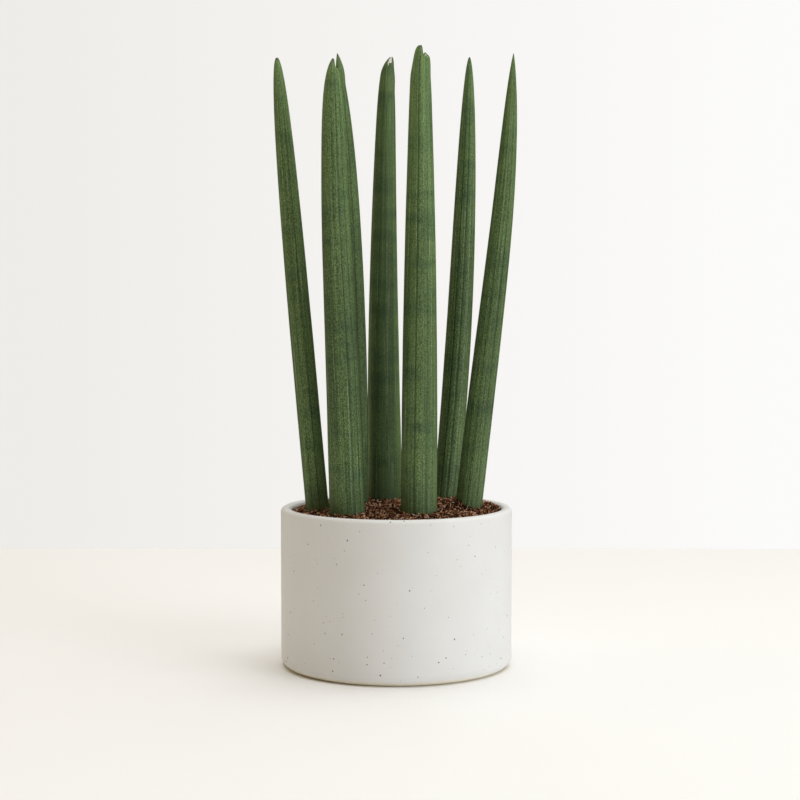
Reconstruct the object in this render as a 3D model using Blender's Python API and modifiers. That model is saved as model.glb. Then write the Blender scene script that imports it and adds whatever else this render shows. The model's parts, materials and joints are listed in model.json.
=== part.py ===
"""A cylindrical snake plant (Dracaena angolensis) in a round stoneware pot.

Metres, +Z up. The origin is the middle of the pot's foot, on the surface it stands on, and the
plant's front faces -Y. The pieces are the pot, the potting mix that fills it, and seven leaves
that each stand in a plain hole in the mix.
"""

import math
import random

import bmesh
import bpy
from mathutils import Vector, noise

# Pot
POT_RADIUS = 0.0800
POT_HEIGHT = 0.1100
WALL = 0.0073
FLOOR_THICKNESS = 0.0080
LIP_EDGE_RADIUS = 0.0030
OUTER_CORNER_RADIUS = 0.0060
INNER_CORNER_RADIUS = 0.0080
FOOT_RING_WIDTH = 0.0100
FOOT_RECESS = 0.0020
FOOT_EDGE = 0.0010
POT_SEGMENTS = 64
LIP_STEPS = 3
CORNER_STEPS = 4

# Potting mix: a low heap that is highest behind and to the right of the middle
MIX_GAP = 0.0003
HEAP_TOP = 0.1121
HEAP_CENTRE = (0.018, 0.022)
HEAP_REACH = 0.095
HEAP_FALL = 0.0053
EDGE_START = 0.058
EDGE_FALL = 0.0015
CRUMB_HEIGHT = 0.0009
CRUMB_SIZE = 0.0052
FINE_CRUMB = 2.3
FINE_CRUMB_SHARE = 0.5
CRUMB_AT_WALL = 0.35
MIX_RINGS = 8

# Leaves
ROOT_DEPTH = 0.045
ROOT_NARROWING = 0.30
HOLE_GAP = 0.0005
HOLE_TOP = 0.010
HOLE_SIDES = 24
FLUTE_HALF_ANGLE = 6.5
FLUTE_DEPTH = 0.0006
FLUTE_SHARE_MOST = 0.10
FLUTE_GAP_SHARE = 0.30
BACK_FLUTE_SPACING = 40.0
BACK_FLUTE_SHIFT = 5.0
BACK_FLUTE_DEPTHS = (0.7, 1.3)
TIP_RADIUS_LEAST = 0.0004
TIP_SHIFT_START = 0.945
FORK_START = 0.970
FORK_FULL = 0.998
LEAF_LEVELS = (0.0, 0.12, 0.25, 0.38, 0.51, 0.63, 0.74, 0.83, 0.90, 0.945, 0.970, 0.984, 0.993, 0.998)
CLOSE_FLUTES = 28.0
ROOT_LEVELS = (1.0, 0.6)

# Each leaf: where its middle leaves the mix, its tip, how far it bows and sways sideways, its
# radius at the mix, two shares by which it slims towards the tip, how late and how roundly the
# tip closes, how far the point sits off the middle, its twist in degrees, and its front flutes
# as (degrees from the front, depth in millimetres). A fork is (place across the leaf, drop of
# the right lobe, depth of the notch, half width of the notch).
LEAVES = {
    "leaf_far_left": {
        "root": (-0.0543, -0.0076),
        "tip": (-0.0813, -0.0036, 0.4177),
        "bow": -0.0003,
        "sway": 0.0,
        "radius": 0.0080,
        "slim": (0.035, -0.015),
        "tip_power": 3.8,
        "tip_round": 0.42,
        "tip_shift": 0.0,
        "twist": 0.0,
        "flutes": ((-62, 0.5), (-19, 0.6), (17, 0.8), (60, 0.6)),
        "fork": None,
    },
    "leaf_front_left": {
        "root": (-0.0331, -0.0287),
        "tip": (-0.0417, -0.0427, 0.4124),
        "bow": -0.0009,
        "sway": 0.0007,
        "radius": 0.0122,
        "slim": (0.07, 0.38),
        "tip_power": 24.0,
        "tip_round": 0.74,
        "tip_shift": 0.0,
        "twist": 15.0,
        "flutes": ((-52, 0.4), (-27, 0.3), (-6, 0.5), (18, 1.0), (44, 0.9), (66, 0.5)),
        "fork": None,
    },
    "leaf_behind_left": {
        "root": (-0.0295, 0.0140),
        "tip": (-0.0411, 0.0200, 0.4238),
        "bow": 0.0038,
        "sway": 0.0,
        "radius": 0.0095,
        "slim": (0.0, 0.30),
        "tip_power": 9.0,
        "tip_round": 0.75,
        "tip_shift": 0.0,
        "twist": -8.0,
        "flutes": ((-50, 0.5), (-15, 0.6), (22, 0.7), (58, 0.5)),
        "fork": None,
    },
    "leaf_centre_back": {
        "root": (-0.0081, 0.0329),
        "tip": (-0.0063, 0.0429, 0.4241),
        "bow": -0.0019,
        "sway": 0.0,
        "radius": 0.0126,
        "slim": (0.28, 0.29),
        "tip_power": 24.0,
        "tip_round": 0.42,
        "tip_shift": 0.0022,
        "twist": -8.0,
        "flutes": ((-66, 0.4), (-43, 0.4), (-20, 0.8), (2, 0.5), (38, 0.6), (64, 0.5)),
        "fork": (0.0004, 0.0, 0.0022, 0.0007),
    },
    "leaf_centre_front": {
        "root": (0.0152, -0.0346),
        "tip": (0.0160, -0.0466, 0.4197),
        "bow": 0.0003,
        "sway": 0.0,
        "radius": 0.0122,
        "slim": (-0.04, 0.54),
        "tip_power": 42.0,
        "tip_round": 0.40,
        "tip_shift": 0.0,
        "twist": -10.0,
        "flutes": ((-64, 0.4), (-44, 0.4), (-13, 1.2), (26, 0.8), (50, 0.6), (72, 0.4)),
        "fork": (0.0012, 0.0045, 0.0026, 0.0006),
    },
    "leaf_right_back": {
        "root": (0.0352, 0.0389),
        "tip": (0.0519, 0.0509, 0.4251),
        "bow": 0.0029,
        "sway": 0.0002,
        "radius": 0.0090,
        "slim": (-0.29, 0.13),
        "tip_power": 2.0,
        "tip_round": 0.52,
        "tip_shift": 0.0,
        "twist": -12.0,
        "flutes": ((-60, 0.4), (-24, 0.9), (6, 0.9), (38, 0.5), (66, 0.5)),
        "fork": None,
    },
    "leaf_far_right": {
        "root": (0.0495, -0.0109),
        "tip": (0.0796, -0.0079, 0.4202),
        "bow": 0.0029,
        "sway": -0.0008,
        "radius": 0.0093,
        "slim": (-0.05, 0.53),
        "tip_power": 8.7,
        "tip_round": 0.78,
        "tip_shift": 0.0,
        "twist": 0.0,
        "flutes": ((-66, 0.5), (-40, 0.4), (-14, 0.5), (5, 0.4), (27, 0.9), (62, 0.6)),
        "fork": None,
    },
}

MILLIMETRE = 0.001


def clear_scene():
    for old in list(bpy.data.objects):
        bpy.data.objects.remove(old, do_unlink=True)


def new_collection(name):
    group = bpy.data.collections.new(name)
    bpy.context.scene.collection.children.link(group)
    return group


def material(name, colour, roughness):
    made = bpy.data.materials.new(name)
    made.use_nodes = True
    shader = made.node_tree.nodes["Principled BSDF"]
    shader.inputs["Base Color"].default_value = (*colour, 1.0)
    shader.inputs["Roughness"].default_value = roughness
    shader.inputs["Metallic"].default_value = 0.0
    return made


def glazed_stoneware():
    return material("glazed_stoneware", (0.80, 0.79, 0.76), 0.55)


def potting_mix():
    return material("potting_mix", (0.13, 0.055, 0.035), 0.95)


def leaf_skin():
    return material("leaf_skin", (0.075, 0.145, 0.045), 0.50)


def smoothstep(low, high, value):
    share = min(1.0, max(0.0, (value - low) / (high - low)))
    return share * share * (3.0 - 2.0 * share)


def arc(centre_x, centre_z, radius, start, end, steps):
    """Points on an arc in the XZ plane, between two angles in degrees."""
    points = []
    for step in range(steps + 1):
        angle = math.radians(start + (end - start) * step / steps)
        points.append((centre_x + radius * math.cos(angle), centre_z + radius * math.sin(angle)))
    return points


def turned_object(name, profile, group, finish):
    """Turns an XZ profile about Z. The profile runs down the outer side, top to bottom."""
    mesh = bpy.data.meshes.new(name)
    mesh.from_pydata([(x, 0.0, z) for x, z in profile], [(i, i + 1) for i in range(len(profile) - 1)], [])
    made = bpy.data.objects.new(name, mesh)
    group.objects.link(made)
    screw = made.modifiers.new("turn", "SCREW")
    screw.steps = POT_SEGMENTS
    screw.render_steps = POT_SEGMENTS
    screw.use_merge_vertices = True
    screw.merge_threshold = 0.00001
    screw.use_smooth_shade = True
    made.data.materials.append(finish)
    return made


def make_pot(group, finish):
    """A straight-sided pot: rounded lip, rounded lower corner, foot ring and closed floor."""
    inner = POT_RADIUS - WALL
    edge = LIP_EDGE_RADIUS
    corner = INNER_CORNER_RADIUS
    outer_corner = OUTER_CORNER_RADIUS
    foot_outer = POT_RADIUS - outer_corner
    foot_inner = foot_outer - FOOT_RING_WIDTH
    profile = [(0.0, FLOOR_THICKNESS)]
    profile += arc(inner - corner, FLOOR_THICKNESS + corner, corner, -90, 0, LIP_STEPS)
    profile += arc(inner + edge, POT_HEIGHT - edge, edge, 180, 90, LIP_STEPS)
    profile += arc(POT_RADIUS - edge, POT_HEIGHT - edge, edge, 90, 0, LIP_STEPS)
    profile += arc(POT_RADIUS - outer_corner, outer_corner, outer_corner, 0, -90, CORNER_STEPS)
    profile += [(foot_inner, 0.0), (foot_inner - FOOT_EDGE, FOOT_RECESS), (0.0, FOOT_RECESS)]
    return turned_object("pot", profile, group, finish)


def mix_height(x, y):
    """Height of the potting mix: a low heap, lower again where it meets the wall."""
    from_top = math.hypot(x - HEAP_CENTRE[0], y - HEAP_CENTRE[1])
    edge = smoothstep(EDGE_START, POT_RADIUS - WALL, math.hypot(x, y))
    return HEAP_TOP - HEAP_FALL * (from_top / HEAP_REACH) ** 2 - EDGE_FALL * edge


def crumb(x, y):
    """Uneven surface of the mix, which is flatter at the wall."""
    at = Vector((x, y, 0.0)) / CRUMB_SIZE
    lumps = noise.noise(at) + FINE_CRUMB_SHARE * noise.noise(at * FINE_CRUMB)
    edge = smoothstep(EDGE_START, POT_RADIUS - WALL, math.hypot(x, y))
    return CRUMB_HEIGHT * lumps * (1.0 - (1.0 - CRUMB_AT_WALL) * edge)


def make_mix(group, finish, holes):
    """The potting mix: fills the pot to its floor, with a heaped top and a hole for each leaf."""
    radius = POT_RADIUS - WALL - MIX_GAP
    bottom = FLOOR_THICKNESS + MIX_GAP
    corner = INNER_CORNER_RADIUS - MIX_GAP
    nominal_top = POT_HEIGHT - LIP_EDGE_RADIUS
    profile = [(radius * ring / MIX_RINGS, nominal_top) for ring in range(MIX_RINGS + 1)]
    profile += arc(radius - corner, bottom + corner, corner, 0, -90, LIP_STEPS)
    profile += [(0.0, bottom)]
    turned = turned_object("turned_mix", profile, group, finish)
    evaluated = turned.evaluated_get(bpy.context.evaluated_depsgraph_get())
    mesh = bpy.data.meshes.new_from_object(evaluated)
    mesh.name = "potting_mix"
    bpy.data.objects.remove(turned, do_unlink=True)
    for vertex in mesh.vertices:
        x, y, z = vertex.co
        if z > nominal_top - 0.5 * MILLIMETRE:
            vertex.co.z = mix_height(x, y) + crumb(x, y)
    made = bpy.data.objects.new("potting_mix", mesh)
    group.objects.link(made)
    cut = made.modifiers.new("leaf_holes", "BOOLEAN")
    cut.operation = "DIFFERENCE"
    cut.operand_type = "COLLECTION"
    cut.collection = holes
    cut.solver = "EXACT"
    return made


def leaf_axis(leaf, share):
    """Middle of the leaf at a share of its height above the mix; negative is below the mix."""
    root_x, root_y = leaf["root"]
    tip_x, tip_y, tip_z = leaf["tip"]
    root_z = mix_height(root_x, root_y)
    bend = leaf["bow"] * 4.0 * share * (1.0 - share) if share > 0.0 else leaf["bow"] * 4.0 * share
    sway = leaf["sway"] * math.sin(2.0 * math.pi * share)
    point = leaf["tip_shift"] * smoothstep(TIP_SHIFT_START, 1.0, share)
    x = root_x + (tip_x - root_x) * share + bend + sway + point
    y = root_y + (tip_y - root_y) * share
    return Vector((x, y, root_z + (tip_z - root_z) * share))


def leaf_radius(leaf, share):
    """Radius above the mix: slims slowly, then closes at the tip."""
    slim, slim_late = leaf["slim"]
    body = leaf["radius"] * (1.0 - slim * share - slim_late * share * share)
    closing = max(0.0, 1.0 - share ** leaf["tip_power"]) ** leaf["tip_round"]
    return max(TIP_RADIUS_LEAST, body * closing)


def root_radius(leaf, depth_share):
    """Radius below the mix, where the leaf narrows towards the rhizome."""
    return leaf["radius"] * (1.0 - ROOT_NARROWING * depth_share ** 2)


def all_flutes(name):
    """Front flutes as listed, and seeded ones round the back: (degrees, depth in metres)."""
    leaf = LEAVES[name]
    front = [(float(angle), depth * MILLIMETRE) for angle, depth in leaf["flutes"]]
    draw = random.Random(name)
    gap = front[0][0] + 360.0 - front[-1][0]
    count = round(gap / BACK_FLUTE_SPACING) - 1
    back = []
    for step in range(1, count + 1):
        shift = draw.uniform(-BACK_FLUTE_SHIFT, BACK_FLUTE_SHIFT)
        angle = front[-1][0] + gap * step / (count + 1) + shift
        back.append((angle, FLUTE_DEPTH * draw.uniform(*BACK_FLUTE_DEPTHS)))
    return front + back


def ring_angles(flutes):
    """Corners of a leaf's section as (degrees, depth): three for each flute, one in each wide gap."""
    corners = []
    for index, (angle, depth) in enumerate(flutes):
        following = flutes[(index + 1) % len(flutes)][0]
        if index + 1 == len(flutes):
            following += 360.0
        half = min(FLUTE_HALF_ANGLE, FLUTE_GAP_SHARE * (following - angle))
        corners += [(angle - half, 0.0), (angle, depth), (angle + half, 0.0)]
        if following - angle > CLOSE_FLUTES:
            corners.append((0.5 * (angle + following), 0.0))
    return corners


def direction(degrees):
    """Unit vector of an angle counted from the front (-Y), positive towards +X."""
    angle = math.radians(degrees)
    return Vector((math.sin(angle), -math.cos(angle), 0.0))


def fork_drop(leaf, across, share):
    """How far the tip is lowered, so that one leaf ends in two lobes and one in a short split."""
    if leaf["fork"] is None:
        return 0.0
    place, lobe_drop, notch_depth, notch_half = leaf["fork"]
    lobe = lobe_drop * smoothstep(place - notch_half, place + notch_half, across)
    notch = notch_depth * math.exp(-(((across - place) / notch_half) ** 2))
    return (lobe + notch) * smoothstep(FORK_START, FORK_FULL, share)


def leaf_section(leaf, corners, share):
    """One ring of the leaf above the mix."""
    middle = leaf_axis(leaf, share)
    radius = leaf_radius(leaf, share)
    turn = leaf["twist"] * (0.5 - share)
    ring = []
    for angle, depth in corners:
        out = direction(angle + turn) * (radius - min(depth, FLUTE_SHARE_MOST * radius))
        ring.append(middle + out - Vector((0.0, 0.0, fork_drop(leaf, out.x, share))))
    return ring


def root_section(leaf, corners, depth_share, grow=0.0):
    """One ring of the leaf, or of the hole for it, below the mix."""
    height = leaf["tip"][2] - mix_height(*leaf["root"])
    share = -depth_share * ROOT_DEPTH / height
    middle = leaf_axis(leaf, share)
    radius = root_radius(leaf, depth_share) + grow
    turn = leaf["twist"] * (0.5 - share)
    return [middle + direction(angle + turn) * (radius - depth) for angle, depth in corners]


def loft(name, rings, group):
    """Closes a stack of rings, lowest first, with a fan at each end."""
    mesh = bpy.data.meshes.new(name)
    shape = bmesh.new()
    stack = [[shape.verts.new(point) for point in ring] for ring in rings]
    count = len(stack[0])
    for lower, upper in zip(stack, stack[1:]):
        for i in range(count):
            j = (i + 1) % count
            shape.faces.new((lower[i], lower[j], upper[j], upper[i]))
    for ring, last in ((stack[0], False), (stack[-1], True)):
        middle = sum((vertex.co for vertex in ring), Vector()) / count
        if last:
            middle.z = max(middle.z, max(vertex.co.z for vertex in ring))
        centre = shape.verts.new(middle)
        for i in range(count):
            j = (i + 1) % count
            shape.faces.new((ring[i], ring[j], centre) if last else (ring[j], ring[i], centre))
    bmesh.ops.triangulate(shape, faces=shape.faces[:])
    bmesh.ops.recalc_face_normals(shape, faces=shape.faces[:])
    shape.to_mesh(mesh)
    shape.free()
    made = bpy.data.objects.new(name, mesh)
    group.objects.link(made)
    return made


def make_leaf(name, group, finish):
    leaf = LEAVES[name]
    corners = ring_angles(all_flutes(name))
    rings = [root_section(leaf, corners, depth_share) for depth_share in ROOT_LEVELS]
    rings += [leaf_section(leaf, corners, share) for share in LEAF_LEVELS]
    made = loft(name, rings, group)
    made.data.materials.append(finish)
    made.data.shade_smooth()
    made.data.set_sharp_from_angle(angle=math.radians(40))
    return made


def make_hole(name, group):
    """The plain hole that a leaf stands in, a little wider and deeper than the leaf."""
    leaf = LEAVES[name]
    corners = [(360.0 * side / HOLE_SIDES, 0.0) for side in range(HOLE_SIDES)]
    height = leaf["tip"][2] - mix_height(*leaf["root"])
    rings = [root_section(leaf, corners, depth_share, HOLE_GAP) for depth_share in ROOT_LEVELS]
    for point in rings[0]:
        point.z -= HOLE_GAP
    for lift in (0.0, HOLE_TOP):
        middle = leaf_axis(leaf, lift / height)
        wide = leaf["radius"] + HOLE_GAP
        rings.append([middle + direction(angle) * wide for angle, _ in corners])
    cutter = loft("hole_" + name, rings, group)
    cutter.hide_render = True
    cutter.display_type = "WIRE"
    return cutter


def build():
    clear_scene()
    plant = new_collection("cylindrical_snake_plant")
    cutters = new_collection("cutters")
    make_pot(plant, glazed_stoneware())
    skin = leaf_skin()
    for name in LEAVES:
        make_hole(name, cutters)
        make_leaf(name, plant, skin)
    make_mix(plant, potting_mix(), cutters)
    cutters.hide_render = True


build()
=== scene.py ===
import json
import math
import random

import bmesh
import bpy
import numpy as np
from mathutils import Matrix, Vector, noise

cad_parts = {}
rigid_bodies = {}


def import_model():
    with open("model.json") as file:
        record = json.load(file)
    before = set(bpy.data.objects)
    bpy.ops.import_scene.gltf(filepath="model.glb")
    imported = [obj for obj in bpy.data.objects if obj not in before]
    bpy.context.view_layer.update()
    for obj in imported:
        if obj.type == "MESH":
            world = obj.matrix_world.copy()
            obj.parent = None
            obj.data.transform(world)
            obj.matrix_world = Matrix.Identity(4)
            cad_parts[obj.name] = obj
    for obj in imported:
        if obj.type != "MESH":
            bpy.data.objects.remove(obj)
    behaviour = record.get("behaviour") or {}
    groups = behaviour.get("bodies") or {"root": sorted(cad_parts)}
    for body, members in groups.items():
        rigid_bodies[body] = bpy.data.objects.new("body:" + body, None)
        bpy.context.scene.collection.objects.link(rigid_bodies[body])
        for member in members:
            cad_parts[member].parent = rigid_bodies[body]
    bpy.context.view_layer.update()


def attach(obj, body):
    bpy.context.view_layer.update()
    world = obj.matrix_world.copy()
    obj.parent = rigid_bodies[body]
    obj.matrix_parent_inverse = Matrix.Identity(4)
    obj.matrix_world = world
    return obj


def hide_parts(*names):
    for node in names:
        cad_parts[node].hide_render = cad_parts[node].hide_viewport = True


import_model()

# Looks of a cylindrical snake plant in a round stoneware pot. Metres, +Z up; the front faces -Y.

BODY = "root"
MILLIMETRE = 0.001

# Pot, as in the solids, with more steps and a rounder edge at the foot
POT_RADIUS = 0.0800
POT_HEIGHT = 0.1100
WALL = 0.0073
FLOOR_THICKNESS = 0.0080
LIP_EDGE_RADIUS = 0.0030
OUTER_CORNER_RADIUS = 0.0074
INNER_CORNER_RADIUS = 0.0080
FOOT_INNER_RADIUS = 0.0640
FOOT_RECESS = 0.0020
FOOT_EDGE = 0.0010
POT_SEGMENTS = 256
ARC_STEPS = 10
WALL_STEPS = 28
FLOOR_STEPS = 8
MERGE_DISTANCE = 0.00001
THROWN_WAVE = 0.00012
THROWN_WAVE_SCALE = (14.0, 14.0, 55.0)

# Potting mix, as in the solids, with a finer surface
MIX_GAP = 0.0003
HEAP_TOP = 0.1121
HEAP_CENTRE = (0.018, 0.022)
HEAP_REACH = 0.095
HEAP_FALL = 0.0053
EDGE_START = 0.058
EDGE_FALL = 0.0015
CRUMB_HEIGHT = 0.0009
CRUMB_SIZE = 0.0052
FINE_CRUMB = 2.3
FINE_CRUMB_SHARE = 0.5
CRUMB_AT_WALL = 0.35
MIX_RINGS = 44
MIX_SEGMENTS = 144
MIX_CORNER_STEPS = 6
HOLE_SIDES = 48
HOLE_GAP = 0.0005
HOLE_TOP = 0.010
# Rings of a hole, as shares of the depth that the leaf goes into the mix
HOLE_DEPTHS = (1.0, 0.8, 0.6, 0.4, 0.2, 0.0)

# Chips of bark and fibre that lie on the mix; the tilt is in degrees
CHIP_SPACING = 0.00142
CHIP_BED_RADIUS = 0.0716
CHIP_CLEARANCE = 0.0009
CHIP_LENGTH = (0.0013, 0.0034)
CHIP_WIDTH = (0.0005, 0.0011)
CHIP_TILT = 34.0
CHIP_LIFT = (-0.0003, 0.0008)
HEAP_AT_LEAF = 0.0012
HEAP_AT_LEAF_REACH = 0.005
FINE_CHIP_SHARE = 0.36
CHIP_SHAPES = 8
CHIP_LUMPS = 0.45
CHIP_LUMP_SCALE = 2.6
NOISE_SHIFT = 50.0
# Small mounds of mix against a leaf: place, height and reach
MOUNDS = (((0.0412, -0.0172), 0.0062, 0.0062),)
CHIP_KINDS = (("mix_chips_dark", 0.38), ("mix_chips_red", 0.39), ("mix_chips_tan", 0.23))

# Leaves
ROOT_DEPTH = 0.045
ROOT_NARROWING = 0.30
# Flutes: half width in degrees, usual depth, and the most they take of the radius and of a gap
FLUTE_HALF_ANGLE = 6.5
FLUTE_DEPTH = 0.0006
FLUTE_SHARE_MOST = 0.10
FLUTE_GAP_SHARE = 0.30
BACK_FLUTE_SPACING = 40.0
BACK_FLUTE_SHIFT = 5.0
BACK_FLUTE_DEPTHS = (0.7, 1.3)
# Shares of the height where a point starts to lean, and where a fork starts and is full
TIP_SHIFT_START = 0.960
FORK_START = 0.970
FORK_FULL = 0.998
# Mesh of a leaf: rings above and below the mix, how they crowd at the tip, and sides
RINGS_ABOVE = 136
RINGS_BELOW = 8
RING_POWER = 2.0
LEAF_SIDES = 216
# Share of a flute's depth that shows, in all and on some leaves, and how much more at the foot
FLUTE_SHOWN = 0.40
FLUTE_FAINT = {"leaf_centre_back": 0.45, "leaf_front_left": 0.80, "leaf_centre_front": 0.75}
FLUTE_AT_FOOT = 0.9
FOOT_REACH = 0.12
# Painted shade in a flute, a dark line for the shade in its groove: where it fades out, its width
# in degrees, and the flute's depths in millimetres at which it starts and is full
FLUTE_FADE = (0.95, 0.995)
FLUTE_CORE_WIDTH = 2.8
FLUTE_CORE_FROM = 0.12
FLUTE_CORE_FULL = 1.20
# Fine lines pressed into the skin: how many, depth, half width in degrees, and share of the depth
FINE_LINES = 30
FINE_LINE_DEPTH = 0.00005
FINE_LINE_WIDTH = (1.6, 3.2)
FINE_LINE_SHARE = (0.4, 1.0)
# Lopsided tips: where it starts and is full, as shares of the height, and the scale of the left
# and the right half
TIP_SIDES = {
    "leaf_behind_left": (0.925, 0.975, 0.75, 1.50),
    "leaf_centre_back": (0.915, 0.965, 1.00, 1.19),
    "leaf_centre_front": (0.930, 0.980, 0.84, 1.14),
}
TIP_SIDES_PLAIN = (0.9, 1.0, 1.0, 1.0)
# Dry cuts at two tips, each of ellipses: across from the tip, half width, top and bottom below the tip
TIP_DRY = {
    "leaf_centre_back": (
        (-0.0008, 0.0012, 0.0014, 0.0050),
        (-0.0021, 0.0005, 0.0036, 0.0066),
        (-0.0002, 0.0005, -0.0002, 0.0022),
    ),
    "leaf_centre_front": ((0.0034, 0.0006, 0.0040, 0.0062),),
}
DRY_HOLLOW = 0.20
DRY_EDGE = (0.70, 1.15)
# How light each leaf is, where that differs from one: partly the leaf's own tone, partly painted
# shade on the leaf at the back and painted light on the leaf at the far left
LEAF_TONE_AND_PAINTED_LIGHT = {
    # Darker: painted shade for the leaf that stands behind the others
    "leaf_centre_back": 0.80,
    # Lighter: painted light on the leftmost leaf
    "leaf_far_left": 1.23,
    "leaf_front_left": 1.03,
    "leaf_centre_front": 1.14,
    "leaf_right_back": 0.96,
    "leaf_far_right": 0.99,
}
# Tone at shares of the height, and how much lighter or darker two leaves' flanks are, as painted light
# and shade: light round both flanks of the leaf at the back, a neighbour's shade on the left of another
TONE_SHARES = (0.0, 0.08, 0.22, 0.45, 0.65, 0.82, 0.93, 1.0)
TONES = (1.02, 1.00, 0.82, 0.82, 0.93, 1.05, 1.20, 1.25)
FLANK_PAINTED_LIGHT_AND_SHADE = {"leaf_centre_back": (1.20, 1.80), "leaf_behind_left": (-0.45, 0.0)}
FLANK_FADE = (0.35, 0.85)
FLANK_POWER = 4
# Painted shade along the left and right edges: a dark outline on every leaf, and on one leaf's right
# edge the shadow where it meets its neighbour: how dark it is at the left and right, and how narrow
EDGE_PAINTED_SHADE = {"leaf_front_left": (0.15, 0.75)}
EDGE_PAINTED_SHADE_PLAIN = (0.15, 0.25)
EDGE_PAINTED_SHADE_POWER = 26
# Strength of the fine speckle in the skin
SPECKLE = {
    "leaf_centre_back": 0.50,
    "leaf_front_left": 0.92,
    "leaf_centre_front": 0.72,
    "leaf_far_left": 0.80,
}
SPECKLE_PLAIN = 0.88
# Slow unevenness of the girth: its share, its size along and about the leaf, and how often it is sampled
WOBBLE = 0.010
WOBBLE_SIZE = 0.030
WOBBLE_TURN = 0.7
WOBBLE_EVERY_RING = 4
WOBBLE_EVERY_SIDE = 6

# Each leaf: where its middle leaves the mix, its tip, how far it bows and sways sideways, its
# radius at the mix, two shares by which it slims towards the tip, how late and how roundly the
# tip closes, how far the point sits off the middle, its twist in degrees, and its front flutes
# as (degrees from the front, depth in millimetres). A fork is (place across the leaf, drop of
# the right lobe, depth of the notch, half width of the notch).
LEAVES = {
    "leaf_far_left": {
        "root": (-0.0543, -0.0076),
        "tip": (-0.0813, -0.0036, 0.4177),
        "bow": -0.0003,
        "sway": 0.0,
        "radius": 0.0080,
        "slim": (0.035, -0.015),
        "tip_power": 3.8,
        "tip_round": 0.42,
        "tip_shift": 0.0,
        "twist": 0.0,
        "flutes": ((-62, 0.5), (-19, 0.6), (17, 0.8), (60, 0.6)),
        "fork": None,
    },
    "leaf_front_left": {
        "root": (-0.0331, -0.0287),
        "tip": (-0.0417, -0.0427, 0.4124),
        "bow": -0.0009,
        "sway": 0.0007,
        "radius": 0.0122,
        "slim": (0.07, 0.38),
        "tip_power": 24.0,
        "tip_round": 0.74,
        "tip_shift": 0.0,
        "twist": 15.0,
        "flutes": ((-52, 0.4), (-27, 0.3), (-6, 0.5), (18, 1.0), (44, 0.9), (66, 0.5)),
        "fork": (0.0014, 0.0040, 0.0008, 0.0006),
    },
    "leaf_behind_left": {
        "root": (-0.0295, 0.0140),
        "tip": (-0.0411, 0.0200, 0.4238),
        "bow": 0.0038,
        "sway": 0.0,
        "radius": 0.0095,
        "slim": (0.0, 0.30),
        "tip_power": 9.0,
        "tip_round": 0.75,
        "tip_shift": 0.0,
        "twist": -8.0,
        "flutes": ((-50, 0.5), (-15, 0.6), (22, 0.7), (58, 0.5)),
        "fork": None,
    },
    "leaf_centre_back": {
        "root": (-0.0081, 0.0329),
        "tip": (-0.0063, 0.0429, 0.4244),
        "bow": -0.0019,
        "sway": 0.0,
        "radius": 0.0126,
        "slim": (0.28, 0.29),
        "tip_power": 26.0,
        "tip_round": 0.56,
        "tip_shift": 0.0028,
        "twist": -8.0,
        "flutes": ((-66, 0.4), (-43, 0.4), (-20, 0.8), (2, 0.5), (38, 0.6), (64, 0.5)),
        "fork": None,
    },
    "leaf_centre_front": {
        "root": (0.0152, -0.0346),
        "tip": (0.0160, -0.0466, 0.4203),
        "bow": 0.0003,
        "sway": 0.0,
        "radius": 0.0122,
        "slim": (-0.04, 0.54),
        "tip_power": 42.0,
        "tip_round": 0.40,
        "tip_shift": 0.0,
        "twist": -10.0,
        "flutes": ((-64, 0.4), (-44, 0.4), (-13, 1.2), (26, 0.8), (50, 0.6), (72, 0.4)),
        "fork": (0.0018, 0.0036, 0.0032, 0.0006),
    },
    "leaf_right_back": {
        "root": (0.0352, 0.0389),
        "tip": (0.0519, 0.0509, 0.4251),
        "bow": 0.0029,
        "sway": 0.0002,
        "radius": 0.0090,
        "slim": (-0.29, 0.13),
        "tip_power": 2.0,
        "tip_round": 0.52,
        "tip_shift": 0.0,
        "twist": -12.0,
        "flutes": ((-60, 0.4), (-24, 0.9), (6, 0.9), (38, 0.5), (66, 0.5)),
        "fork": None,
    },
    "leaf_far_right": {
        "root": (0.0495, -0.0109),
        "tip": (0.0796, -0.0079, 0.4202),
        "bow": 0.0029,
        "sway": -0.0008,
        "radius": 0.0093,
        "slim": (-0.05, 0.53),
        "tip_power": 8.7,
        "tip_round": 0.78,
        "tip_shift": 0.0,
        "twist": 0.0,
        "flutes": ((-66, 0.5), (-40, 0.4), (-14, 0.5), (5, 0.4), (27, 0.9), (62, 0.6)),
        "fork": None,
    },
}

# Camera and stage, at the photograph's viewing angle
CAMERA_DISTANCE = 1.249
CAMERA_SIDE = 0.0025
CAMERA_HEIGHT = 0.258
CAMERA_PITCH = 3.4
CAMERA_LENS = 81.5
SENSOR_WIDTH = 36.0
# The table ends before the planes of the lamps, so that no edge of their light falls on it
TABLE_BACK_EDGE = 0.564
TABLE_HALF_WIDTH = 1.35
TABLE_DEPTH = 2.1
TABLE_THICKNESS = 0.03


def smoothstep(low, high, value):
    share = np.clip((np.asarray(value, float) - low) / (high - low), 0.0, 1.0)
    return share * share * (3.0 - 2.0 * share)


def mix_height(x, y):
    """Height of the potting mix: a low heap, lower again where it meets the wall."""
    from_top = np.hypot(x - HEAP_CENTRE[0], y - HEAP_CENTRE[1])
    edge = smoothstep(EDGE_START, POT_RADIUS - WALL, np.hypot(x, y))
    return HEAP_TOP - HEAP_FALL * (from_top / HEAP_REACH) ** 2 - EDGE_FALL * edge


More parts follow.
